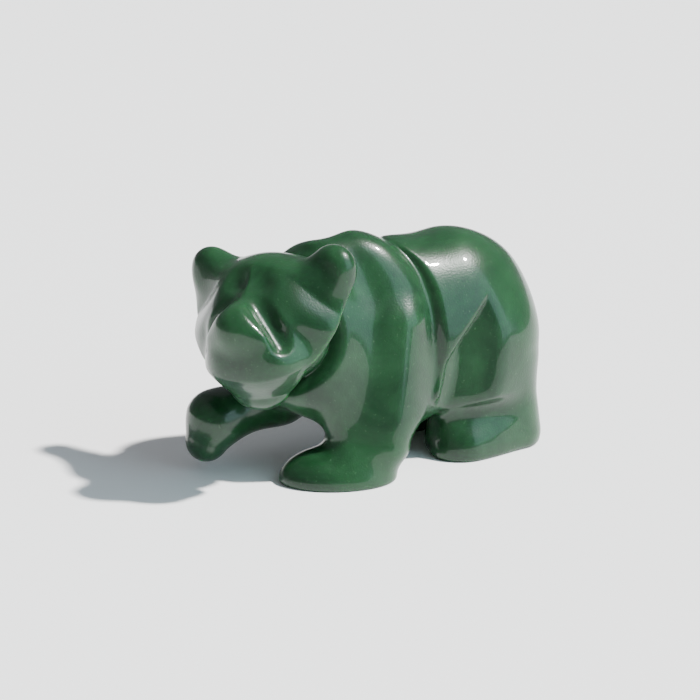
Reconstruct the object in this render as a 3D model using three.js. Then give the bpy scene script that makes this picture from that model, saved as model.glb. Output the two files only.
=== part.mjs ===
import * as THREE from "three";

// A bear carved from one piece of jade, walking with its right forepaw lifted and its head
// turned to its left. It faces -Y, its left side is +X and it stands on z = 0.

// Driving sizes
const LENGTH = 76; // foremost point to rump, mm
const FACET = 1.4; // spacing at which the skin is first worked out, in figure units
const TRIANGLES = 8800; // facets of the finished solid

// Everything below is in figure units, about a hundredth of the bear's length each:
// x to the bear's left, y towards its tail, z up. LENGTH scales the figure at the end.
const BELLY = 13; // clear height under the belly
const SOLE = 0.8; // rounding where a sole meets the ground
const FOLD = 0.8; // sharpness of the carved folds
const TOE_IN = -28; // turn of the left foreleg, degrees
const HEAD_ASIDE = -2; // point midway between the ears
const HEAD_FORWARD = 23;
const HEAD_HEIGHT = 55;
const HEAD_TURN = 29; // turn of the head towards the bear's left, degrees
const HEAD_TILT = -9; // lean of the head, its right ear lower, degrees

// Blending of two forms given by their signed distances, over a width k
const join = (a, b, k) => {
  const h = Math.max(k - Math.abs(a - b), 0) / k;
  return Math.min(a, b) - (h * h * k) / 4;
};
const meet = (a, b, k) => -join(-a, -b, k);
const cut = (a, b, k) => meet(a, -b, k);

// A turn about z, then x, then y, in degrees, as the three rows of a rotation
function turned(aboutZ = 0, aboutX = 0, aboutY = 0) {
  const m = new THREE.Matrix4().makeRotationFromEuler(new THREE.Euler(
    (aboutX * Math.PI) / 180,
    (aboutY * Math.PI) / 180,
    (aboutZ * Math.PI) / 180,
    "ZXY",
  ));
  const e = m.elements;
  return [[e[0], e[4], e[8]], [e[1], e[5], e[9]], [e[2], e[6], e[10]]];
}

// The same point seen from a form's own middle and axes
function seenFrom(centre, turn) {
  const [r0, r1, r2] = turn;
  return (x, y, z) => {
    const dx = x - centre[0];
    const dy = y - centre[1];
    const dz = z - centre[2];
    return [
      r0[0] * dx + r1[0] * dy + r2[0] * dz,
      r0[1] * dx + r1[1] * dy + r2[1] * dz,
      r0[2] * dx + r1[2] * dy + r2[2] * dz,
    ];
  };
}

// An ellipsoid
function blob(centre, radii, turn = turned()) {
  const local = seenFrom(centre, turn);
  const [a, b, c] = radii;
  return (x, y, z) => {
    const [p, q, r] = local(x, y, z);
    const near = Math.hypot(p / a, q / b, r / c);
    const slope = Math.hypot(p / (a * a), q / (b * b), r / (c * c));
    return slope < 1e-9 ? -Math.min(a, b, c) : (near * (near - 1)) / slope;
  };
}

// A box with rounded edges; its half width and half depth may grow with height
function tower(centre, half, rounding, growth = [0, 0], turn = turned()) {
  const local = seenFrom(centre, turn);
  const steep = Math.hypot(1, growth[0], growth[1]);
  return (x, y, z) => {
    const [p, q, r] = local(x, y, z);
    const u = Math.abs(p) - half[0] - growth[0] * r + rounding;
    const v = Math.abs(q) - half[1] - growth[1] * r + rounding;
    const w = Math.abs(r) - half[2] + rounding;
    const beyond = Math.hypot(Math.max(u, 0), Math.max(v, 0), Math.max(w, 0));
    return (beyond + Math.min(Math.max(u, v, w), 0) - rounding) / steep;
  };
}

// A round bar from one point to another, thick at its start and thin at its end;
// `narrow` below 1 makes it that much wider from side to side than from front to back
function limb(from, to, startRadius, endRadius, narrow = 1) {
  const along = to.map((v, n) => v - from[n]);
  along[0] *= narrow;
  const square = along[0] ** 2 + along[1] ** 2 + along[2] ** 2;
  return (x, y, z) => {
    const px = (x - from[0]) * narrow;
    const py = y - from[1];
    const pz = z - from[2];
    const share = (px * along[0] + py * along[1] + pz * along[2]) / square;
    const t = Math.min(1, Math.max(0, share));
    const far = Math.hypot(px - along[0] * t, py - along[1] * t, pz - along[2] * t);
    return far - startRadius - (endRadius - startRadius) * t;
  };
}

// Everything behind a plane, given by a point on it and the way it faces
function plane(point, facing) {
  const size = Math.hypot(...facing);
  const [a, b, c] = facing.map((v) => v / size);
  const reach = a * point[0] + b * point[1] + c * point[2];
  return (x, y, z) => a * x + b * y + c * z - reach;
}

// Hindquarters
const haunch = blob([0, 26.5, 6], [21.6, 22, 48.8]);
const rump = blob([0, 27.2, 34], [17, 24.1, 22.2]);
const seat = tower([0, 34, 25.5], [18, 15.4, 13.5], 12);
const barrel = blob([0, 11, 22], [18.8, 27, 35]);
const knee = blob([11.5, 23, 21], [9, 8.5, 8.5]);
const leftHindLeg = tower([11, 32.6, 13], [8, 15.2, 17], 8, [-0.18, -0.04]);
const rightHindLeg = tower([-11.9, 28.5, 13], [8.7, 11.5, 17], 8, [0, 0.22], turned(0, -14, 0));
const leftHindPaw = blob([12, 30, 0.5], [8.2, 14, 8.3], turned(6));
const rightHindPaw = blob([-12.5, 19.5, 0.5], [7.5, 12.5, 8.3], turned(-4));
const leftAnkle = limb([20.5, 11, 12.3], [24, 36, 11.5], 6.4, 3);
const rightAnkle = limb([-20.5, 4, 12.3], [-24, 27, 11.5], 6, 3);

// Carved hollow between flank and thigh: the thigh's front slope, and the flank's edge
// over it, which comes down steeply and then turns to run straight down
const thighSlope = plane([17.5, 31.8, 43.5], [0.88, -0.43, 0.19]);
const flankEdge = plane([17.6, 16, 28], [0.5, 0.62, -0.537]);
const flankFoot = plane([17.6, 16, 28], [0.5, 0.798, -0.188]);

// Fold behind the shoulder: its place along the body at each height
const FOLD_AT = 15.6;
const FOLD_TOP = 38; // height at which the fold is farthest back
const FOLD_DEPTH = 1.9;
const shoulderFold = (z) => FOLD_AT - (z > FOLD_TOP ? 5.3e-5 : 2.6e-5) * (z - FOLD_TOP) ** 4;

// Forequarters
const shoulder = blob([0, -2.5, 20], [16, 16.5, 38]);
const hump = blob([0, -2, 43], [14, 17.5, 16.5]);
const leftShoulder = blob([9.2, 1.5, 19], [10.7, 13, 35], turned(-14, 0, -13));
const rightShoulder = blob([-9, 0, 20], [10.2, 13.5, 32], turned(8, 0, 13));
const leftBreast = plane([19.4, -2.6, 14], [0.86, -0.46, 0.27]);
const rightBreast = plane([-19.4, -2.6, 14], [-0.86, -0.46, 0.27]);
const leftForeleg = tower([9.6, -2.4, 23], [7.2, 12.2, 21], 6, [-0.09, 0.12], turned(TOE_IN, 0, -10));
const leftForepaw = blob([11.1, -12.2, 0.5], [8.5, 14.8, 8.6], turned(TOE_IN));
const upperArm = limb([-9, -2, 29], [-11.5, -16, 17], 10, 7.4);
const forearm = limb([-11.5, -16, 16.2], [-12, -34, 13.6], 7.2, 6.4);
const raisedPaw = limb([-12, -34, 13], [-12.5, -36.5, 7.7], 7, 5.3);
const neck = blob([-2, -12, 30], [16.2, 15, 28.5]);

// Head, seen from between the ears: x to the bear's left, y backwards, z up
const headAt = [HEAD_ASIDE, -HEAD_FORWARD, HEAD_HEIGHT];
const fromHead = seenFrom(headAt, turned(HEAD_TURN, 0, HEAD_TILT));
const face = limb([-0.8, -0.8, -12], [-0.8, -0.8, -21], 14.5, 14.5, 0.645);
const muzzle = tower([0, -12.1, -17.4], [10.2, 9.8, 9.4], 6.5, [0.1, 0.04]);
const chin = limb([0, -13.2, -21], [-0.8, -11.6, -28.2], 9.2, 5.4, 0.7);
const bridge = limb([0, -4, -6.5], [0, -15, -11.5], 9, 4.6);
const nose = blob([0, -17.3, -11.3], [6.8, 6.7, 6.2]);
const eyeLedge = plane([14, -11.5, -9.7], [0.67, -0.5, 0.55]);
const browFace = plane([9.5, -8.8, -3], [0.52, -0.8, 0.3]);
const cheekFold = limb([3, -15.7, -2], [11.3, -17.6, -14.8], 2.4, 2.5);
const noseFold = limb([2.2, -18.9, -4.2], [8.8, -20.2, -10.4], 0.8, 1.2);
const dimple = blob([3.4, -12.3, -0.2], [2.6, 2.6, 3]);
const ear = blob([16.8, 0.4, -2.4], [6.1, 4.6, 7], turned(0, 0, 30));
const earHollow = blob([16.5, -19, -1.5], [13, 15.4, 13]);
const nape = plane([0, -1, -8], [0, 0.815, -0.579]);
const chinBack = plane([0, -12, 0], [0, 1, 0]);
const throat = blob([0, -4, -17], [15, 10, 12]);
const nuchal = limb([-1, -19, 47], [0, -5, 44], 9, 10); // solid stone between head and neck
const MOAT_DEPTH = 3.6; // how far the neck is let in where it meets the head
const MOAT_WIDTH = 5; // how far from the head that ends

function headSkin(x, y, z) {
  const [u, v, w] = fromHead(x, y, z);
  const s = Math.abs(u);
  let d = join(face(u, v, w), bridge(u, v, w), 3);
  d = join(d, muzzle(u, v, w), 4);
  d = join(d, chin(u, v, w), 3);
  d = join(d, nose(s, v, w), 2.5);
  d = meet(d, Math.min(eyeLedge(s, v, w), browFace(s, v, w)), 1.6);
  d = cut(d, dimple(s, v, w), 4);
  d = cut(d, cheekFold(s, v, w), 1.6);
  d = cut(d, noseFold(s, v, w), 1.2);
  const lobe = cut(ear(s, v, w), earHollow(s, v, w), 2);
  d = meet(join(d, lobe, 4), Math.min(nape(u, v, w), chinBack(u, v, w)), 1);
  return join(d, throat(u, v, w), 1.5);
}

function rearSkin(x, y, z) {
  const s = Math.abs(x);
  let d = join(haunch(x, y, z), rump(x, y, z), 5);
  d = join(d, seat(x, y, z), 9);
  d = join(d, barrel(x, y, z), 4);
  d = meet(d, BELLY - z, 5);
  d = join(d, leftHindLeg(x, y, z), 3);
  d = join(d, rightHindLeg(x, y, z), 3);
  d = join(d, knee(s, y, z), 4);
  d = cut(d, leftAnkle(x, y, z), 3);
  d = cut(d, rightAnkle(x, y, z), 3);
  const hollow = Math.min(flankEdge(s, y, z), flankFoot(s, y, z), thighSlope(s, y, z));
  d = meet(d, hollow, 1.2);
  d = meet(d, (shoulderFold(z) - y + 0.9 * d) / 1.35, FOLD);
  d = join(d, leftHindPaw(x, y, z), 2);
  return join(d, rightHindPaw(x, y, z), 2);
}

function foreSkin(x, y, z) {
  let d = join(shoulder(x, y, z), hump(x, y, z), 6);
  d = join(d, leftShoulder(x, y, z), 6);
  d = join(d, rightShoulder(x, y, z), 6);
  d = meet(d, BELLY + 0.1 * Math.max(0, -y) - z, 5);
  d = meet(d, leftBreast(x, y, z), 5);
  d = meet(d, rightBreast(x, y, z), 5);
  for (const form of [leftForeleg, leftForepaw, upperArm, forearm, raisedPaw]) {
    d = join(d, form(x, y, z), 4);
  }
  return d;
}

// Signed distance to the whole figure's skin
function figure(x, y, z) {
  const trunk = meet(barrel(x, y, z) + FOLD_DEPTH, BELLY - 0.4 - z, 4);
  let d = join(foreSkin(x, y, z), trunk, 3);
  d = join(d, rearSkin(x, y, z), FOLD);
  d = join(d, meet(neck(x, y, z), BELLY + 5 - z, 6), 5);
  const head = headSkin(x, y, z);
  d += MOAT_DEPTH * Math.max(0, 1 - Math.max(0, head) / MOAT_WIDTH) ** 2;
  d = Math.min(join(d, head, FOLD), nuchal(x, y, z));
  return meet(d, -z, SOLE);
}

// Six tetrahedra fill one cell; each is given by four of the cell's corners, and every
// corner is a step of 0 or 1 along x (1), y (2) and z (4).
const TETRAHEDRA = [
  [0, 1, 3, 7],
  [0, 3, 2, 7],
  [0, 2, 6, 7],
  [0, 6, 4, 7],
  [0, 4, 5, 7],
  [0, 5, 1, 7],
];

// The surface where the field is zero, as shared points and outward triangles.
function surface(field, low, high, cell) {
  const count = low.map((v, k) => Math.ceil((high[k] - v) / cell) + 1);
  const [nx, ny, nz] = count;
  const at = (i, j, k) => i + nx * (j + ny * k);
  const value = new Float64Array(nx * ny * nz);
  for (let k = 0; k < nz; k += 1) {
    for (let j = 0; j < ny; j += 1) {
      for (let i = 0; i < nx; i += 1) {
        const d = field(low[0] + i * cell, low[1] + j * cell, low[2] + k * cell);
        value[at(i, j, k)] = Math.abs(d) < 1e-4 ? 1e-4 : d;
      }
    }
  }
  const place = (n) => {
    const i = n % nx;
    const j = Math.floor(n / nx) % ny;
    const k = Math.floor(n / (nx * ny));
    return [low[0] + i * cell, low[1] + j * cell, low[2] + k * cell];
  };
  const points = [];
  const found = new Map();
  const crossing = (a, b) => {
    const key = a < b ? a * value.length + b : b * value.length + a;
    if (!found.has(key)) {
      const t = Math.min(0.92, Math.max(0.08, value[a] / (value[a] - value[b])));
      const [p, q] = [place(a), place(b)];
      found.set(key, points.length);
      points.push(p.map((v, n) => v + (q[n] - v) * t));
    }
    return found.get(key);
  };
  const triangles = [];
  const face = (a, b, c, inner) => {
    const [p, q, r] = [points[a], points[b], points[c]];
    const u = q.map((v, n) => v - p[n]);
    const w = r.map((v, n) => v - p[n]);
    const normal = [u[1] * w[2] - u[2] * w[1], u[2] * w[0] - u[0] * w[2], u[0] * w[1] - u[1] * w[0]];
    const s = place(inner);
    const side = normal.reduce((sum, v, n) => sum + v * (p[n] - s[n]), 0);
    triangles.push(side > 0 ? [a, b, c] : [a, c, b]);
  };
  for (let k = 0; k < nz - 1; k += 1) {
    for (let j = 0; j < ny - 1; j += 1) {
      for (let i = 0; i < nx - 1; i += 1) {
        for (const tetra of TETRAHEDRA) {
          const corner = tetra.map((c) => at(i + (c & 1), j + ((c >> 1) & 1), k + (c >> 2)));
          const inside = corner.filter((c) => value[c] < 0);
          const outside = corner.filter((c) => value[c] >= 0);
          if (inside.length === 1) {
            const [a, b, c] = outside.map((o) => crossing(inside[0], o));
            face(a, b, c, inside[0]);
          } else if (inside.length === 3) {
            const [a, b, c] = inside.map((o) => crossing(o, outside[0]));
            face(a, b, c, inside[0]);
          } else if (inside.length === 2) {
            const a = crossing(inside[0], outside[0]);
            const b = crossing(inside[0], outside[1]);
            const c = crossing(inside[1], outside[1]);
            const d = crossing(inside[1], outside[0]);
            face(a, b, c, inside[0]);
            face(a, c, d, inside[0]);
          }
        }
      }
    }
  }
  return { points, triangles };
}

// Lays every point exactly on the skin by short steps along the field's slope.
function settle(points, field, steps) {
  const e = 0.05;
  for (const p of points) {
    for (let s = 0; s < steps; s += 1) {
      const [x, y, z] = p;
      const d = field(x, y, z);
      const gx = (field(x + e, y, z) - field(x - e, y, z)) / (2 * e);
      const gy = (field(x, y + e, z) - field(x, y - e, z)) / (2 * e);
      const gz = (field(x, y, z + e) - field(x, y, z - e)) / (2 * e);
      const g = Math.max(gx * gx + gy * gy + gz * gz, 0.2);
      const step = Math.max(-0.4, Math.min(0.4, d / g));
      p[0] -= gx * step;
      p[1] -= gy * step;
      p[2] -= gz * step;
    }
  }
}

const minus = (a, b) => [a[0] - b[0], a[1] - b[1], a[2] - b[2]];
const dot = (a, b) => a[0] * b[0] + a[1] * b[1] + a[2] * b[2];
const across = (a, b) => [a[1] * b[2] - a[2] * b[1], a[2] * b[0] - a[0] * b[2], a[0] * b[1] - a[1] * b[0]];

// Merges neighbouring points, flattest places first, until `target` triangles are left.
// The error of a merge is its squared distance from the planes it stands for.
function lighten({ points, triangles }, target) {
  const errors = points.map(() => new Float64Array(10));
  const around = points.map(() => new Set());
  triangles.forEach((t, n) => {
    const [a, b, c] = t.map((i) => points[i]);
    const normal = across(minus(b, a), minus(c, a));
    const size = Math.hypot(...normal) || 1e-12;
    const [x, y, z] = normal.map((v) => v / size);
    const d = -(x * a[0] + y * a[1] + z * a[2]);
    const terms = [x * x, x * y, x * z, x * d, y * y, y * z, y * d, z * z, z * d, d * d];
    for (const i of t) {
      around[i].add(n);
      terms.forEach((v, k) => {
        errors[i][k] += v * size;
      });
    }
  });
  const cost = (q, [x, y, z]) => q[0] * x * x + 2 * q[1] * x * y + 2 * q[2] * x * z + 2 * q[3] * x
    + q[4] * y * y + 2 * q[5] * y * z + 2 * q[6] * y + q[7] * z * z + 2 * q[8] * z + q[9];
  const best = (i, j) => {
    const q = errors[i].map((v, k) => v + errors[j][k]);
    const spread = 1e-3 * (q[0] + q[4] + q[7]) + 1e-9;
    const middle = points[i].map((v, k) => (v + points[j][k]) / 2);
    const rows = [
      [q[0] + spread, q[1], q[2]],
      [q[1], q[4] + spread, q[5]],
      [q[2], q[5], q[7] + spread],
    ];
    const right = [q[3], q[6], q[8]].map((v, k) => spread * middle[k] - v);
    const whole = dot(rows[0], across(rows[1], rows[2]));
    const spot = Math.abs(whole) < 1e-12 ? middle : [0, 1, 2].map((k) => {
      const part = rows.map((row, r) => row.map((v, c) => (c === k ? right[r] : v)));
      return dot(part[0], across(part[1], part[2])) / whole;
    });
    const reach = Math.hypot(...minus(points[i], points[j]));
    const near = Math.hypot(...minus(spot, middle)) < 1.5 * reach ? spot : middle;
    return { spot: near, price: Math.max(cost(q, near), 0) + 1e-5 * reach * reach };
  };
  const heap = [];
  const rise = (n) => {
    let i = n;
    while (i > 0) {
      const up = (i - 1) >> 1;
      if (heap[up].price <= heap[i].price) break;
      [heap[up], heap[i]] = [heap[i], heap[up]];
      i = up;
    }
  };
  const take = () => {
    const top = heap[0];
    const last = heap.pop();
    if (heap.length) {
      heap[0] = last;
      let i = 0;
      for (;;) {
        let small = i;
        for (const next of [2 * i + 1, 2 * i + 2]) {
          if (next < heap.length && heap[next].price < heap[small].price) small = next;
        }
        if (small === i) break;
        [heap[small], heap[i]] = [heap[i], heap[small]];
        i = small;
      }
    }
    return top;
  };
  const stamp = new Int32Array(points.length);
  const offer = (i, j) => {
    heap.push({ ...best(i, j), i, j, mark: stamp[i] + stamp[j] });
    rise(heap.length - 1);
  };
  const neighbours = (i) => {
    const set = new Set();
    for (const n of around[i]) {
      for (const k of triangles[n]) set.add(k);
    }
    set.delete(i);
    return set;
  };
  points.forEach((_, i) => {
    for (const j of neighbours(i)) {
      if (i < j) offer(i, j);
    }
  });
  const steady = (i, other, spot) => [...around[i]].every((n) => {
    if (triangles[n].includes(other)) return true;
    const old = triangles[n].map((k) => points[k]);
    const moved = triangles[n].map((k) => (k === i ? spot : points[k]));
    const before = across(minus(old[1], old[0]), minus(old[2], old[0]));
    const after = across(minus(moved[1], moved[0]), minus(moved[2], moved[0]));
    const sizes = Math.hypot(...before) * Math.hypot(...after);
    const longest = Math.max(...[0, 1, 2].map((k) => Math.hypot(...minus(moved[k], moved[(k + 1) % 3]))));
    return dot(before, after) > 0.5 * sizes && Math.hypot(...after) > 0.06 * longest * longest;
  });
  let left = triangles.length;
  const gone = new Uint8Array(points.length);
  while (left > target && heap.length) {
    const { i, j, spot, mark } = take();
    if (gone[i] || gone[j] || mark !== stamp[i] + stamp[j]) continue;
    const mine = neighbours(i);
    const shared = [...neighbours(j)].filter((k) => mine.has(k));
    if (shared.length !== 2 || !steady(i, j, spot) || !steady(j, i, spot)) continue;
    for (const n of [...around[j]]) {
      if (triangles[n].includes(i)) {
        triangles[n].forEach((k) => around[k].delete(n));
        left -= 1;
      } else {
        triangles[n] = triangles[n].map((k) => (k === j ? i : k));
        around[i].add(n);
      }
    }
    gone[j] = 1;
    points[i] = spot;
    errors[j].forEach((v, k) => {
      errors[i][k] += v;
    });
    stamp[i] += points.length;
    for (const k of neighbours(i)) offer(i, k);
  }
  const order = new Map();
  const kept = [];
  const faces = [];
  triangles.forEach((t, n) => {
    if (!around[t[0]].has(n)) return;
    faces.push(t.map((k) => {
      if (!order.has(k)) {
        order.set(k, kept.length);
        kept.push(points[k]);
      }
      return order.get(k);
    }));
  });
  return { points: kept, triangles: faces };
}

// The space that the figure is looked for in
const SPACE_LOW = [-27, -50, -1.1];
const SPACE_HIGH = [27, 54, 66];

// The figure's skin as a light closed mesh at its real size, standing on z = 0 with the
// middle of its ground plan over the origin
function carve() {
  const skin = surface(figure, SPACE_LOW, SPACE_HIGH, FACET);
  settle(skin.points, figure, 2);
  const { points, triangles } = lighten(skin, TRIANGLES);
  for (const p of points) {
    if (Math.abs(p[2]) < 0.03) p[2] = 0;
  }
  const ends = [0, 1, 2].map((k) => {
    const all = points.map((p) => p[k]);
    return [Math.min(...all), Math.max(...all)];
  });
  const scale = LENGTH / (ends[1][1] - ends[1][0]);
  const middle = ends.map(([low, high]) => (low + high) / 2);
  const placed = points.flatMap((p) => [
    (p[0] - middle[0]) * scale,
    (p[1] - middle[1]) * scale,
    (p[2] - ends[2][0]) * scale,
  ]);
  const geometry = new THREE.BufferGeometry();
  geometry.setAttribute("position", new THREE.Float32BufferAttribute(placed, 3));
  geometry.setIndex(triangles.flat());
  geometry.computeVertexNormals();
  return geometry;
}

const jade = new THREE.MeshStandardMaterial({ color: 0x3a6b46, roughness: 0.25, metalness: 0 });
jade.name = "jade";

const bear = new THREE.Mesh(carve(), jade);
bear.name = "jade_bear";

const carving = new THREE.Group();
carving.name = "jade_bear_carving";
carving.add(bear);

export default carving;
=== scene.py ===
"""A bear carved from one piece of polished jade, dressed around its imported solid."""

import math

import bpy
import numpy as np
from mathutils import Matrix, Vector


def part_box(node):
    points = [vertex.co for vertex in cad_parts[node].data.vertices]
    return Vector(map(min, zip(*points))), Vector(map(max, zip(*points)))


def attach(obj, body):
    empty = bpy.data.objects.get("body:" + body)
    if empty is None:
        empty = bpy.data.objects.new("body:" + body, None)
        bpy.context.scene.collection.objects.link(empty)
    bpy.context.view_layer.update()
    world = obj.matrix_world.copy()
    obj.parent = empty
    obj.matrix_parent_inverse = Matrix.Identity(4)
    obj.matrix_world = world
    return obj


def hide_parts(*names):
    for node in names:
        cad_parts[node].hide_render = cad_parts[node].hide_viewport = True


bl_info = {
    "name": "Jade bear carving",
    "version": (1, 0, 0),
    "blender": (4, 5, 0),
    "location": "View3D > Sidebar > Jade bear",
    "description": "Makes a polished jade bear carving and the pale table it stands on",
    "category": "Add Mesh",
}

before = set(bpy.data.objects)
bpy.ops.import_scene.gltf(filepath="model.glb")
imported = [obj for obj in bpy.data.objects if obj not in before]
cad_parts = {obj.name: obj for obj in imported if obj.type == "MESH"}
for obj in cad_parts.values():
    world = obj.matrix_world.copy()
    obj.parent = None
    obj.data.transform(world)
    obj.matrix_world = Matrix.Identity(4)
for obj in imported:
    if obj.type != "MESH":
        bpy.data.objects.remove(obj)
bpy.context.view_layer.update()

# The carving is described in units of about a hundredth of its length, as its solid is:
# x to the bear's left, y towards its tail, z up.
BELLY = 13.0
SOLE = 0.8
FOLD = 0.8
FOLD_AT = 15.6  # place of the shoulder fold along the body, at FOLD_TOP
FOLD_TOP = 38.0
FOLD_LEAN_ABOVE = 5.3e-5  # how fast the fold leans forward above FOLD_TOP
FOLD_LEAN_BELOW = 2.6e-5
FOLD_DEPTH = 1.9
MOAT_DEPTH = 3.6
MOAT_WIDTH = 5.0
TOE_IN = -28.0  # degrees
HEAD_AT = (-2.0, -23.0, 55.0)
HEAD_TURN = 29.0  # degrees
HEAD_TILT = -9.0  # degrees
SPACE_LOW = (-27.0, -50.0, -3.0)
SPACE_HIGH = (27.0, 54.0, 66.0)
COARSE_STEPS = 4  # fine cells along one coarse cell
FILL_PASSES = 12  # most rounds of filling the tips of thin folds
SLOPE_STEP = 0.04  # half the distance between the samples that a slope is taken from
LEAST_SLOPE = 0.2  # floor for the slope's square, so that a step can't run away
LONGEST_STEP = 0.3
SETTLING_STEPS = 3
GROUND = 0.03  # points lower than this are set on the ground

# The photograph's view: where it stands, how far off, and what is in its middle
VIEW_AZIMUTH = 57.5
VIEW_ELEVATION = 20.0
VIEW_DISTANCE = 520.0  # figure units
VIEW_TARGET = (0.0, 0.0, 25.0)  # figure units
TARGET_PIXEL = (355.0, 364.0)
PIXELS_PER_UNIT = 3.94
IMAGE_SIZE = 700.0
SENSOR_WIDTH = 36.0  # mm

# The room: the window's two edges round the room and its two edges in height, each with
# the width of its soft border, the way to the key light, and half the table's width
WINDOW_AZIMUTH = (math.radians(12.0), math.radians(52.0))
WINDOW_SIDE_SOFTNESS = 0.12
WINDOW_HEIGHT = (0.07, 0.82)
WINDOW_HEIGHT_SOFTNESS = 0.06
KEY_FROM = (0.374, 0.455, 0.743)
KEY_ANGLE = 3.0  # degrees
TABLE_HALF = 4.0  # m

# The stone: refraction of the body and of its polish, and the light that gets into it
STONE_IOR = 1.45
POLISH_IOR = 1.48
GLOW_WEIGHT = 0.35
GLOW_COLOUR = (0.25, 1.0, 0.35)
CLOUDS = 90.0  # to a metre, as are the two below
FLECKS = 1500.0
GRAINS = 2600.0


# Blending of signed distances

def join(a, b, k):
    """The nearer of two forms, rounded into each other over a width k."""
    h = np.maximum(k - np.abs(a - b), 0.0) / k
    return np.minimum(a, b) - h * h * k / 4.0


def meet(a, b, k):
    """What two forms share, its edge rounded over a width k."""
    return -join(-a, -b, k)


def cut(a, b, k):
    """One form less another, the edge rounded over a width k."""
    return meet(a, -b, k)


# Forms, each a function from coordinates to signed distance

def turned(about_z=0.0, about_x=0.0, about_y=0.0):
    """A turn about z, then x, then y, in degrees, as a 3 by 3 rotation."""
    (cz, sz), (cx, sx), (cy, sy) = (
        (math.cos(math.radians(a)), math.sin(math.radians(a)))
        for a in (about_z, about_x, about_y)
    )
    rz = np.array(((cz, -sz, 0.0), (sz, cz, 0.0), (0.0, 0.0, 1.0)))
    rx = np.array(((1.0, 0.0, 0.0), (0.0, cx, -sx), (0.0, sx, cx)))
    ry = np.array(((cy, 0.0, sy), (0.0, 1.0, 0.0), (-sy, 0.0, cy)))
    return rz @ rx @ ry


def seen_from(centre, turn):
    """Coordinates in a form's own axes: the transposed turn times (point less centre)."""
    def local(x, y, z):
        dx, dy, dz = x - centre[0], y - centre[1], z - centre[2]
        return tuple(
            turn[0, k] * dx + turn[1, k] * dy + turn[2, k] * dz for k in range(3)
        )
    return local


def blob(centre, radii, turn=np.eye(3)):
    """An ellipsoid: k (k - 1) / |gradient of k|, with k the point's length over the radii."""
    local = seen_from(centre, turn)
    a, b, c = radii

    def distance(x, y, z):
        p, q, r = local(x, y, z)
        near = np.sqrt((p / a) ** 2 + (q / b) ** 2 + (r / c) ** 2)
        slope = np.sqrt((p / a**2) ** 2 + (q / b**2) ** 2 + (r / c**2) ** 2)
        return np.where(slope < 1e-9, -min(radii), near * (near - 1.0) / np.maximum(slope, 1e-9))
    return distance


def tower(centre, half, rounding, growth=(0.0, 0.0), turn=np.eye(3)):
    """A rounded box, its half width and half depth growing in proportion to height."""
    local = seen_from(centre, turn)
    steep = math.hypot(1.0, *growth)

    def distance(x, y, z):
        p, q, r = local(x, y, z)
        u = np.abs(p) - half[0] - growth[0] * r + rounding
        v = np.abs(q) - half[1] - growth[1] * r + rounding
        w = np.abs(r) - half[2] + rounding
        beyond = np.sqrt(sum(np.maximum(side, 0.0) ** 2 for side in (u, v, w)))
        return (beyond + np.minimum(np.maximum(np.maximum(u, v), w), 0.0) - rounding) / steep
    return distance


def limb(start, end, start_radius, end_radius, narrow=1.0):
    """A round bar: distance to a line less a radius that changes evenly along it."""
    along = np.subtract(end, start) * (narrow, 1.0, 1.0)
    square = float(along @ along)

    def distance(x, y, z):
        px, py, pz = (x - start[0]) * narrow, y - start[1], z - start[2]
        t = np.clip((px * along[0] + py * along[1] + pz * along[2]) / square, 0.0, 1.0)
        rx, ry, rz = px - along[0] * t, py - along[1] * t, pz - along[2] * t
        far = np.sqrt(rx**2 + ry**2 + rz**2)
        return far - start_radius - (end_radius - start_radius) * t
    return distance


def plane(point, facing):
    """Everything behind a plane: the point's reach along the facing direction."""
    unit = np.array(facing) / np.linalg.norm(facing)
    reach = float(unit @ np.array(point))
    return lambda x, y, z: unit[0] * x + unit[1] * y + unit[2] * z - reach


def shoulder_fold(z):
    """The fold's place along the body: it leans forward towards back and belly."""
    lean = np.where(z > FOLD_TOP, FOLD_LEAN_ABOVE, FOLD_LEAN_BELOW)
    return FOLD_AT - lean * (z - FOLD_TOP) ** 4


HIND = {
    "haunch": blob((0, 26.5, 6), (21.6, 22, 48.8)),
    "rump": blob((0, 27.2, 34), (17, 24.1, 22.2)),
    "seat": tower((0, 34, 25.5), (18, 15.4, 13.5), 12),
    "barrel": blob((0, 11, 22), (18.8, 27, 35)),
    "knee": blob((11.5, 23, 21), (9, 8.5, 8.5)),
    "left_leg": tower((11, 32.6, 13), (8, 15.2, 17), 8, (-0.18, -0.04)),
    "right_leg": tower((-11.9, 28.5, 13), (8.7, 11.5, 17), 8, (0, 0.22), turned(0, -14, 0)),
    "left_paw": blob((12, 30, 0.5), (8.2, 14, 8.3), turned(6)),
    "right_paw": blob((-12.5, 19.5, 0.5), (7.5, 12.5, 8.3), turned(-4)),
    "left_ankle": limb((20.5, 11, 12.3), (24, 36, 11.5), 6.4, 3),
    "right_ankle": limb((-20.5, 4, 12.3), (-24, 27, 11.5), 6, 3),
    "thigh_slope": plane((17.5, 31.8, 43.5), (0.88, -0.43, 0.19)),
    "flank_edge": plane((17.6, 16, 28), (0.5, 0.62, -0.537)),
    "flank_foot": plane((17.6, 16, 28), (0.5, 0.798, -0.188)),
}
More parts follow.
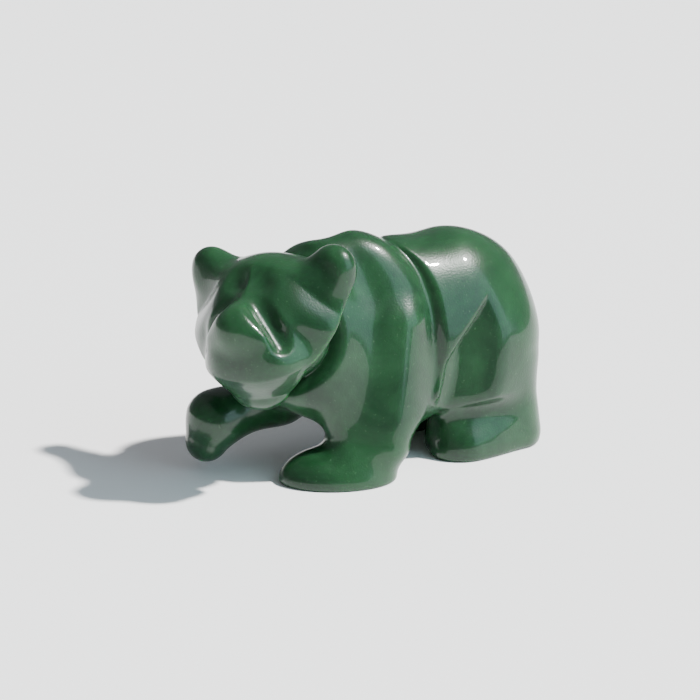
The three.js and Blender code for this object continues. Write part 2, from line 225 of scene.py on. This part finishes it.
FORE = {
    "shoulder": blob((0, -2.5, 20), (16, 16.5, 38)),
    "hump": blob((0, -2, 43), (14, 17.5, 16.5)),
    "left_shoulder": blob((9.2, 1.5, 19), (10.7, 13, 35), turned(-14, 0, -13)),
    "right_shoulder": blob((-9, 0, 20), (10.2, 13.5, 32), turned(8, 0, 13)),
    "left_breast": plane((19.4, -2.6, 14), (0.86, -0.46, 0.27)),
    "right_breast": plane((-19.4, -2.6, 14), (-0.86, -0.46, 0.27)),
    "left_leg": tower((9.6, -2.4, 23), (7.2, 12.2, 21), 6, (-0.09, 0.12), turned(TOE_IN, 0, -10)),
    "left_paw": blob((11.1, -12.2, 0.5), (8.5, 14.8, 8.6), turned(TOE_IN)),
    "upper_arm": limb((-9, -2, 29), (-11.5, -16, 17), 10, 7.4),
    "forearm": limb((-11.5, -16, 16.2), (-12, -34, 13.6), 7.2, 6.4),
    "raised_paw": limb((-12, -34, 13), (-12.5, -36.5, 7.7), 7, 5.3),
    "neck": blob((-2, -12, 30), (16.2, 15, 28.5)),
    "nuchal": limb((-1, -19, 47), (0, -5, 44), 9, 10),
}
FACE = {
    "face": limb((-0.8, -0.8, -12), (-0.8, -0.8, -21), 14.5, 14.5, 0.645),
    "muzzle": tower((0, -12.1, -17.4), (10.2, 9.8, 9.4), 6.5, (0.1, 0.04)),
    "chin": limb((0, -13.2, -21), (-0.8, -11.6, -28.2), 9.2, 5.4, 0.7),
    "bridge": limb((0, -4, -6.5), (0, -15, -11.5), 9, 4.6),
    "nose": blob((0, -17.3, -11.3), (6.8, 6.7, 6.2)),
    "eye_ledge": plane((14, -11.5, -9.7), (0.67, -0.5, 0.55)),
    "brow_face": plane((9.5, -8.8, -3), (0.52, -0.8, 0.3)),
    "cheek_fold": limb((3, -15.7, -2), (11.3, -17.6, -14.8), 2.4, 2.5),
    "nose_fold": limb((2.2, -18.9, -4.2), (8.8, -20.2, -10.4), 0.8, 1.2),
    "dimple": blob((3.4, -12.3, -0.2), (2.6, 2.6, 3)),
    "ear": blob((16.8, 0.4, -2.4), (6.1, 4.6, 7), turned(0, 0, 30)),
    "ear_hollow": blob((16.5, -19, -1.5), (13, 15.4, 13)),
    "nape": plane((0, -1, -8), (0, 0.815, -0.579)),
    "chin_back": plane((0, -12, 0), (0, 1, 0)),
    "throat": blob((0, -4, -17), (15, 10, 12)),
}
from_head = seen_from(HEAD_AT, turned(HEAD_TURN, 0, HEAD_TILT))


def head_skin(x, y, z):
    """The head: broad face and muzzle joined, eyes and folds cut in, ears set on."""
    u, v, w = from_head(x, y, z)
    s = np.abs(u)
    d = join(FACE["face"](u, v, w), FACE["bridge"](u, v, w), 3.0)
    d = join(d, FACE["muzzle"](u, v, w), 4.0)
    d = join(d, FACE["chin"](u, v, w), 3.0)
    d = join(d, FACE["nose"](s, v, w), 2.5)
    d = meet(d, np.minimum(FACE["eye_ledge"](s, v, w), FACE["brow_face"](s, v, w)), 1.6)
    d = cut(d, FACE["dimple"](s, v, w), 4.0)
    d = cut(d, FACE["cheek_fold"](s, v, w), 1.6)
    d = cut(d, FACE["nose_fold"](s, v, w), 1.2)
    lobe = cut(FACE["ear"](s, v, w), FACE["ear_hollow"](s, v, w), 2.0)
    d = join(d, lobe, 4.0)
    d = meet(d, np.minimum(FACE["nape"](u, v, w), FACE["chin_back"](u, v, w)), 1.0)
    return join(d, FACE["throat"](u, v, w), 1.5)


def rear_skin(x, y, z):
    """Haunch, barrel and hind legs, with the ankle and flank hollows cut in."""
    s = np.abs(x)
    d = join(HIND["haunch"](x, y, z), HIND["rump"](x, y, z), 5.0)
    d = join(d, HIND["seat"](x, y, z), 9.0)
    d = join(d, HIND["barrel"](x, y, z), 4.0)
    d = meet(d, BELLY - z, 5.0)
    d = join(d, HIND["left_leg"](x, y, z), 3.0)
    d = join(d, HIND["right_leg"](x, y, z), 3.0)
    d = join(d, HIND["knee"](s, y, z), 4.0)
    d = cut(d, HIND["left_ankle"](x, y, z), 3.0)
    d = cut(d, HIND["right_ankle"](x, y, z), 3.0)
    hollow = np.minimum(HIND["flank_edge"](s, y, z), HIND["flank_foot"](s, y, z))
    d = meet(d, np.minimum(hollow, HIND["thigh_slope"](s, y, z)), 1.2)
    d = meet(d, (shoulder_fold(z) - y + 0.9 * d) / 1.35, FOLD)
    d = join(d, HIND["left_paw"](x, y, z), 2.0)
    return join(d, HIND["right_paw"](x, y, z), 2.0)


def fore_skin(x, y, z):
    """Shoulders, left foreleg and raised right foreleg, faced off at the breast."""
    d = join(FORE["shoulder"](x, y, z), FORE["hump"](x, y, z), 6.0)
    d = join(d, FORE["left_shoulder"](x, y, z), 6.0)
    d = join(d, FORE["right_shoulder"](x, y, z), 6.0)
    d = meet(d, BELLY + 0.1 * np.maximum(0.0, -y) - z, 5.0)
    d = meet(d, FORE["left_breast"](x, y, z), 5.0)
    d = meet(d, FORE["right_breast"](x, y, z), 5.0)
    for name in ("left_leg", "left_paw", "upper_arm", "forearm", "raised_paw"):
        d = join(d, FORE[name](x, y, z), 4.0)
    return d


def figure(x, y, z):
    """Signed distance to the whole carving's skin, in figure units."""
    trunk = meet(HIND["barrel"](x, y, z) + FOLD_DEPTH, BELLY - 0.4 - z, 4.0)
    d = join(fore_skin(x, y, z), trunk, 3.0)
    d = join(d, rear_skin(x, y, z), FOLD)
    d = join(d, meet(FORE["neck"](x, y, z), BELLY + 5.0 - z, 6.0), 5.0)
    head = head_skin(x, y, z)
    d = d + MOAT_DEPTH * np.maximum(0.0, 1.0 - np.maximum(0.0, head) / MOAT_WIDTH) ** 2
    d = np.minimum(join(d, head, FOLD), FORE["nuchal"](x, y, z))
    return meet(d, -z, SOLE)


# From signed distance to mesh

def sampled(field, cell):
    """Field values on a regular grid: worked out everywhere on a coarse grid, then on the
    fine grid only in coarse cells near the skin; elsewhere the coarse value stands."""
    low = np.array(SPACE_LOW)
    coarse = cell * COARSE_STEPS
    count = np.ceil((np.array(SPACE_HIGH) - low) / coarse).astype(int)
    lines = [low[k] + coarse * np.arange(count[k] + 1) for k in range(3)]
    rough = field(*np.meshgrid(*lines, indexing="ij"))
    nearest = np.full(tuple(count), np.inf)
    for i in (0, 1):
        for j in (0, 1):
            for k in (0, 1):
                part = rough[i:i + count[0], j:j + count[1], k:k + count[2]]
                nearest = np.minimum(nearest, np.abs(part))
    fine_count = count * COARSE_STEPS + 1
    owner = [np.minimum(np.arange(n) // COARSE_STEPS, c - 1) for n, c in zip(fine_count, count)]
    values = rough[np.ix_(*owner)].copy()
    near = (nearest < 2.0 * coarse)[np.ix_(*owner)]
    i, j, k = np.nonzero(near)
    values[near] = field(low[0] + cell * i, low[1] + cell * j, low[2] + cell * k)
    return low, values


def filled(values, cell):
    """Grid values with the tips of folds thinner than a cell filled: where the samples of a
    grid square are inside and outside by turns, the outside ones are set just inside, until
    no such square is left, so that no two sheets of the skin share an edge."""
    values = values.copy()
    for _ in range(FILL_PASSES):
        found = False
        for axis in range(3):
            across = np.moveaxis(values, axis, 0)
            a, b = across[:, :-1, :-1], across[:, 1:, :-1]
            c, d = across[:, :-1, 1:], across[:, 1:, 1:]
            by_turns = ((a < 0) == (d < 0)) & ((b < 0) == (c < 0)) & ((a < 0) != (b < 0))
            found = found or bool(by_turns.any())
            for sample in (a, b, c, d):
                sample[by_turns & (sample >= 0)] = -0.01 * cell
        if not found:
            break
    return values


CORNERS = [(i, j, k) for i in (0, 1) for j in (0, 1) for k in (0, 1)]
CELL_EDGES = [
    (a, b) for n, a in enumerate(CORNERS) for b in CORNERS[n + 1:]
    if sum(abs(p - q) for p, q in zip(a, b)) == 1
]


def net(low, values, cell):
    """Surface net: one point in each cell the skin passes, at the mean of its crossings
    of the cell's edges, and one four-sided face round each grid edge that it crosses."""
    inside = values < 0.0
    shape = tuple(n - 1 for n in values.shape)
    corner = lambda grid, c: grid[c[0]:c[0] + shape[0], c[1]:c[1] + shape[1], c[2]:c[2] + shape[2]]
    total = sum(corner(inside, c).astype(np.int8) for c in CORNERS)
    active = np.argwhere((total > 0) & (total < 8))
    number = np.full(shape, -1)
    number[tuple(active.T)] = np.arange(len(active))
    spots = np.zeros((len(active), 3))
    hits = np.zeros(len(active))
    for a, b in CELL_EDGES:
        va = values[tuple((active + a).T)]
        vb = values[tuple((active + b).T)]
        crossed = (va < 0.0) != (vb < 0.0)
        share = np.where(crossed, va / np.where(crossed, va - vb, 1.0), 0.0)
        point = np.array(a) + share[:, None] * (np.array(b) - np.array(a))
        spots += np.where(crossed[:, None], point, 0.0)
        hits += crossed
    points = low + cell * (active + spots / hits[:, None])
    faces = []
    for axis in range(3):
        step = np.eye(3, dtype=int)[axis]
        first, second = (np.eye(3, dtype=int)[(axis + n) % 3] for n in (1, 2))
        end = tuple(slice(0, n - s) for n, s in zip(values.shape, step))
        far = tuple(slice(s, n) for n, s in zip(values.shape, step))
        crossed = np.argwhere(inside[end] != inside[far])
        ring = [crossed - first - second, crossed - second, crossed, crossed - first]
        quads = np.stack([number[tuple(r.T)] for r in ring], axis=1)
        outward = inside[tuple(crossed.T)]
        faces.append(np.where(outward[:, None], quads, quads[:, ::-1]))
    return points, np.concatenate(faces)


def settled(points, field, steps):
    """Points moved onto the skin by Newton steps along the field's slope."""
    shifts = np.eye(3) * SLOPE_STEP
    for _ in range(steps):
        value = field(*points.T)
        slope = np.stack(
            [
                (field(*(points + s).T) - field(*(points - s).T)) / (2.0 * SLOPE_STEP)
                for s in shifts
            ],
            axis=1,
        )
        size = np.maximum((slope**2).sum(axis=1), LEAST_SLOPE)
        points = points - slope * np.clip(value / size, -LONGEST_STEP, LONGEST_STEP)[:, None]
    return points


class CarvingSizes(bpy.types.PropertyGroup):
    """How finely the carving's skin is worked out."""

    cell: bpy.props.FloatProperty(
        name="Cell", description="Spacing of the skin's points, in hundredths of the length",
        default=0.53, min=0.3, max=2.0)


class JadeLooks(bpy.types.PropertyGroup):
    """Colours and polish of the jade."""

    deep: bpy.props.FloatVectorProperty(
        name="Deep green", description="Colour of the dense stone", subtype="COLOR",
        default=(0.005, 0.027, 0.010), min=0.0, max=1.0)
    bright: bpy.props.FloatVectorProperty(
        name="Bright green", description="Colour of the lighter clouds", subtype="COLOR",
        default=(0.012, 0.055, 0.020), min=0.0, max=1.0)
    fleck: bpy.props.FloatVectorProperty(
        name="Pale fleck", description="Colour of the small pale flecks", subtype="COLOR",
        default=(0.07, 0.14, 0.07), min=0.0, max=1.0)
    roughness: bpy.props.FloatProperty(
        name="Grain", description="Roughness of the stone under the polish",
        default=0.30, min=0.0, max=1.0)
    polish: bpy.props.FloatProperty(
        name="Polish", description="Strength of the clear polish over the grain",
        default=0.45, min=0.0, max=1.0)
    sheen: bpy.props.FloatProperty(
        name="Sheen", description="Strength of the grain's own soft highlight",
        default=0.24, min=0.0, max=1.0)
    gloss: bpy.props.FloatProperty(
        name="Polish roughness", description="Roughness of the clear polish",
        default=0.035, min=0.0, max=1.0)
    glow: bpy.props.FloatProperty(
        name="Glow depth", description="How deep light goes into the stone",
        default=0.004, min=0.0, max=0.05, unit="LENGTH")


class StageLooks(bpy.types.PropertyGroup):
    """Table, wall and lights."""

    table: bpy.props.FloatVectorProperty(
        name="Table", description="Colour of the pale table", subtype="COLOR",
        default=(0.93, 0.93, 0.94), min=0.0, max=1.0)
    sun: bpy.props.FloatProperty(
        name="Key", description="Strength of the key light", default=10.0, min=0.0)
    wall: bpy.props.FloatVectorProperty(
        name="Room near the floor", description="Light from low in the room", subtype="COLOR",
        default=(0.20, 0.21, 0.22), min=0.0, max=1.0)
    ceiling: bpy.props.FloatVectorProperty(
        name="Room overhead", description="Light from overhead", subtype="COLOR",
        default=(0.35, 0.36, 0.38), min=0.0, max=1.0)
    window: bpy.props.FloatVectorProperty(
        name="Window", description="Colour of the broad cool window", subtype="COLOR",
        default=(0.62, 0.90, 1.0), min=0.0, max=1.0)
    window_strength: bpy.props.FloatProperty(
        name="Window strength", description="Brightness of the window", default=3.0, min=0.0)


def node(tree, kind, place, **values):
    """A shader node with its plain settings and the defaults of its named inputs."""
    made = tree.nodes.new(kind)
    made.location = place
    for key, value in values.items():
        if key in made.inputs:
            made.inputs[key].default_value = value
        else:
            setattr(made, key, value)
    return made


def jade_material(looks):
    """Polished jade: clouds of two greens, pale flecks, a satin grain under a clear polish."""
    material = bpy.data.materials.new("jade")
    material.use_nodes = True
    tree = material.node_tree
    tree.nodes.clear()
    link = tree.links.new
    out = node(tree, "ShaderNodeOutputMaterial", (900, 0))
    skin = node(tree, "ShaderNodeBsdfPrincipled", (600, 0))
    link(skin.outputs["BSDF"], out.inputs["Surface"])
    where = node(tree, "ShaderNodeTexCoord", (-900, 0)).outputs["Object"]

    cloud = node(
        tree, "ShaderNodeTexNoise", (-600, 300),
        Scale=CLOUDS, Detail=6.0, Roughness=0.6, Distortion=0.6)
    link(where, cloud.inputs["Vector"])
    spread = node(tree, "ShaderNodeMapRange", (-400, 300))
    spread.inputs["From Min"].default_value = 0.35
    spread.inputs["From Max"].default_value = 0.68
    link(cloud.outputs["Fac"], spread.inputs["Value"])
    greens = node(tree, "ShaderNodeMix", (-200, 300), data_type="RGBA")
    greens.inputs[6].default_value = (*looks.deep, 1.0)
    greens.inputs[7].default_value = (*looks.bright, 1.0)
    link(spread.outputs["Result"], greens.inputs[0])

    speck = node(tree, "ShaderNodeTexNoise", (-600, 0), Scale=FLECKS, Detail=2.0, Roughness=0.5)
    link(where, speck.inputs["Vector"])
    specks = node(tree, "ShaderNodeMapRange", (-400, 0))
    specks.inputs["From Min"].default_value = 0.66
    specks.inputs["From Max"].default_value = 0.78
    specks.inputs["To Max"].default_value = 0.30
    link(speck.outputs["Fac"], specks.inputs["Value"])
    flecked = node(tree, "ShaderNodeMix", (50, 200), data_type="RGBA")
    flecked.inputs[7].default_value = (*looks.fleck, 1.0)
    link(greens.outputs[2], flecked.inputs[6])
    link(specks.outputs["Result"], flecked.inputs[0])
    link(flecked.outputs[2], skin.inputs["Base Color"])

    grain = node(tree, "ShaderNodeTexNoise", (-600, -300), Scale=GRAINS, Detail=2.0, Roughness=0.5)
    link(where, grain.inputs["Vector"])
    bump = node(tree, "ShaderNodeBump", (300, -300), Strength=0.35, Distance=0.00010)
    link(grain.outputs["Fac"], bump.inputs["Height"])
    link(bump.outputs["Normal"], skin.inputs["Normal"])

    wear = node(tree, "ShaderNodeMapRange", (-400, -150))
    wear.inputs["To Min"].default_value = looks.roughness * 0.75
    wear.inputs["To Max"].default_value = looks.roughness * 1.35
    link(cloud.outputs["Fac"], wear.inputs["Value"])
    link(wear.outputs["Result"], skin.inputs["Roughness"])

    skin.inputs["IOR"].default_value = STONE_IOR
    skin.inputs["Specular IOR Level"].default_value = looks.sheen
    skin.inputs["Coat Weight"].default_value = looks.polish
    skin.inputs["Coat Roughness"].default_value = looks.gloss
    skin.inputs["Coat IOR"].default_value = POLISH_IOR
    skin.inputs["Subsurface Weight"].default_value = GLOW_WEIGHT
    skin.inputs["Subsurface Radius"].default_value = GLOW_COLOUR
    skin.inputs["Subsurface Scale"].default_value = looks.glow
    return material


def new_mesh(name, points, faces):
    """A mesh object at the origin from arrays of points and four-sided faces."""
    mesh = bpy.data.meshes.new(name)
    mesh.vertices.add(len(points))
    mesh.vertices.foreach_set("co", np.asarray(points, np.float32).ravel())
    sides = faces.shape[1]
    mesh.loops.add(faces.size)
    mesh.loops.foreach_set("vertex_index", faces.astype(np.int32).ravel())
    mesh.polygons.add(len(faces))
    mesh.polygons.foreach_set("loop_start", np.arange(0, faces.size, sides, dtype=np.int32))
    mesh.polygons.foreach_set("use_smooth", np.ones(len(faces), bool))
    mesh.update(calc_edges=True)
    mesh.validate()
    made = bpy.data.objects.new(name, mesh)
    bpy.context.scene.collection.objects.link(made)
    return made


class CarveBear(bpy.types.Operator):
    """Work out the carving's skin and give it its jade"""

    bl_idname = "jade_bear.carve"
    bl_label = "Carve the bear"

    def execute(self, context):
        sizes = context.scene.jade_bear_sizes
        looks = context.scene.jade_bear_looks
        low, values = sampled(figure, sizes.cell)
        points, faces = net(low, filled(values, sizes.cell), sizes.cell)
        points = settled(points, figure, SETTLING_STEPS)
        ground = np.abs(points[:, 2]) < GROUND
        points[ground, 2] = 0.0
        lowest, highest = points.min(axis=0), points.max(axis=0)
        cad_low, cad_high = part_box("jade_bear")
        scale = (cad_high.y - cad_low.y) / (highest[1] - lowest[1])
        middle = (lowest + highest) / 2.0
        middle[2] = lowest[2]
        context.scene["figure_unit"] = scale
        context.scene["figure_middle"] = list(middle)
        bear = new_mesh("bear_carving", (points - middle) * scale, faces)
        bear.data.materials.append(jade_material(looks))
        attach(bear, "root")
        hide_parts("jade_bear")
        return {"FINISHED"}


def placed(scene, point):
    """A point of the figure in metres."""
    unit, middle = scene["figure_unit"], scene["figure_middle"]
    return Vector((p - m) * unit for p, m in zip(point, middle))


def plain_material(name, colour, roughness):
    """One flat colour for the stage."""
    material = bpy.data.materials.new(name)
    material.use_nodes = True
    skin = material.node_tree.nodes["Principled BSDF"]
    skin.inputs["Base Color"].default_value = (*colour, 1.0)
    skin.inputs["Roughness"].default_value = roughness
    return material


def lit_band(tree, value, start, end, soft, place):
    """A mask that is 1 between two values and falls to 0 over a soft edge outside them."""
    rise = node(tree, "ShaderNodeMapRange", place, interpolation_type="SMOOTHSTEP")
    rise.inputs["From Min"].default_value = start - soft
    rise.inputs["From Max"].default_value = start
    below = (place[0], place[1] - 250)
    fall = node(tree, "ShaderNodeMapRange", below, interpolation_type="SMOOTHSTEP")
    fall.inputs["From Min"].default_value = end
    fall.inputs["From Max"].default_value = end + soft
    fall.inputs["To Min"].default_value = 1.0
    fall.inputs["To Max"].default_value = 0.0
    tree.links.new(value, rise.inputs["Value"])
    tree.links.new(value, fall.inputs["Value"])
    both = node(tree, "ShaderNodeMath", (place[0] + 200, place[1]), operation="MULTIPLY")
    tree.links.new(rise.outputs["Result"], both.inputs[0])
    tree.links.new(fall.outputs["Result"], both.inputs[1])
    return both.outputs["Value"]


def room_world(looks):
    """A plain dim room: its upper half softly grey, with one broad cool window."""
    world = bpy.data.worlds.new("room")
    world.use_nodes = True
    tree = world.node_tree
    tree.nodes.clear()
    link = tree.links.new
    out = node(tree, "ShaderNodeOutputWorld", (900, 0))
    glow = node(tree, "ShaderNodeBackground", (700, 0), Strength=1.0)
    link(glow.outputs["Background"], out.inputs["Surface"])
    where = node(tree, "ShaderNodeTexCoord", (-900, 0)).outputs["Generated"]
    parts = node(tree, "ShaderNodeSeparateXYZ", (-700, 0))
    link(where, parts.inputs["Vector"])
    azimuth = node(tree, "ShaderNodeMath", (-500, 100), operation="ARCTAN2")
    link(parts.outputs["Y"], azimuth.inputs[0])
    link(parts.outputs["X"], azimuth.inputs[1])
    side = lit_band(
        tree, azimuth.outputs["Value"], *WINDOW_AZIMUTH, WINDOW_SIDE_SOFTNESS, (-300, 300))
    level = lit_band(
        tree, parts.outputs["Z"], *WINDOW_HEIGHT, WINDOW_HEIGHT_SOFTNESS, (-300, -300))
    pane = node(tree, "ShaderNodeMath", (100, 0), operation="MULTIPLY")
    link(side, pane.inputs[0])
    link(level, pane.inputs[1])
    rise = node(tree, "ShaderNodeMapRange", (100, -300))
    rise.inputs["From Min"].default_value = 0.0
    rise.inputs["From Max"].default_value = 1.0
    link(parts.outputs["Z"], rise.inputs["Value"])
    walls = node(tree, "ShaderNodeMix", (300, -300), data_type="RGBA")
    walls.inputs[6].default_value = (*looks.wall, 1.0)
    walls.inputs[7].default_value = (*looks.ceiling, 1.0)
    link(rise.outputs["Result"], walls.inputs[0])
    mixed = node(tree, "ShaderNodeMix", (500, 0), data_type="RGBA")
    mixed.inputs[7].default_value = (*[looks.window_strength * c for c in looks.window], 1.0)
    link(walls.outputs[2], mixed.inputs[6])
    link(pane.outputs["Value"], mixed.inputs[0])
    link(mixed.outputs[2], glow.inputs["Color"])
    return world


class SetStage(bpy.types.Operator):
    """Set the pale table, the soft lights and the camera"""

    bl_idname = "jade_bear.stage"
    bl_label = "Set the stage"

    def execute(self, context):
        scene = context.scene
        looks = scene.jade_bear_stage
        unit = scene["figure_unit"]
        azimuth, elevation = math.radians(VIEW_AZIMUTH), math.radians(VIEW_ELEVATION)
        back = Vector((
            math.sin(azimuth) * math.cos(elevation),
            -math.cos(azimuth) * math.cos(elevation),
            math.sin(elevation),
        ))
        target = placed(scene, VIEW_TARGET)
        data = bpy.data.cameras.new("camera")
        camera = bpy.data.objects.new("camera", data)
        scene.collection.objects.link(camera)
        camera.location = target + back * VIEW_DISTANCE * unit
        camera.rotation_mode = "QUATERNION"
        camera.rotation_quaternion = (-back).to_track_quat("-Z", "Y")
        focal_pixels = PIXELS_PER_UNIT * VIEW_DISTANCE
        data.sensor_width = SENSOR_WIDTH
        data.lens = focal_pixels / IMAGE_SIZE * data.sensor_width
        data.shift_x = (IMAGE_SIZE / 2.0 - TARGET_PIXEL[0]) / IMAGE_SIZE
        data.shift_y = (TARGET_PIXEL[1] - IMAGE_SIZE / 2.0) / IMAGE_SIZE
        data.clip_start, data.clip_end = 0.01, 20.0
        scene.camera = camera

        points = TABLE_HALF * np.array([(-1, -1, 0), (1, -1, 0), (1, 1, 0), (-1, 1, 0)])
        table = new_mesh("table", points, np.array([[0, 1, 2, 3]]))
        table.data.materials.append(plain_material("table_white", looks.table, 0.6))

        towards = Vector(KEY_FROM).normalized()
        key_data = bpy.data.lights.new("key", "SUN")
        key_data.energy = looks.sun
        key_data.angle = math.radians(KEY_ANGLE)
        key_data.color = (1.0, 0.98, 0.95)
        key = bpy.data.objects.new("key", key_data)
        scene.collection.objects.link(key)
        key.rotation_mode = "QUATERNION"
        key.rotation_quaternion = towards.to_track_quat("Z", "Y")

        scene.world = room_world(looks)
        return {"FINISHED"}


class JadeBearPanel(bpy.types.Panel):
    """The carving's steps and settings"""

    bl_idname = "VIEW3D_PT_jade_bear"
    bl_label = "Jade bear"
    bl_space_type = "VIEW_3D"
    bl_region_type = "UI"
    bl_category = "Jade bear"

    def draw(self, context):
        layout = self.layout
        scene = context.scene
        for group in (scene.jade_bear_sizes, scene.jade_bear_looks, scene.jade_bear_stage):
            for name in group.__annotations__:
                layout.prop(group, name)
        for operator in (CarveBear, SetStage):
            layout.operator(operator.bl_idname)


CLASSES = (CarvingSizes, JadeLooks, StageLooks, CarveBear, SetStage, JadeBearPanel)
SETTINGS = {
    "jade_bear_sizes": CarvingSizes,
    "jade_bear_looks": JadeLooks,
    "jade_bear_stage": StageLooks,
}


def register():
    for cls in CLASSES:
        bpy.utils.register_class(cls)
    for name, cls in SETTINGS.items():
        setattr(bpy.types.Scene, name, bpy.props.PointerProperty(type=cls))


def unregister():
    for name in SETTINGS:
        delattr(bpy.types.Scene, name)
    for cls in reversed(CLASSES):
        bpy.utils.unregister_class(cls)


def main():
    register()
    bpy.ops.jade_bear.carve()
    bpy.ops.jade_bear.stage()


if __name__ == "__main__":
    main()
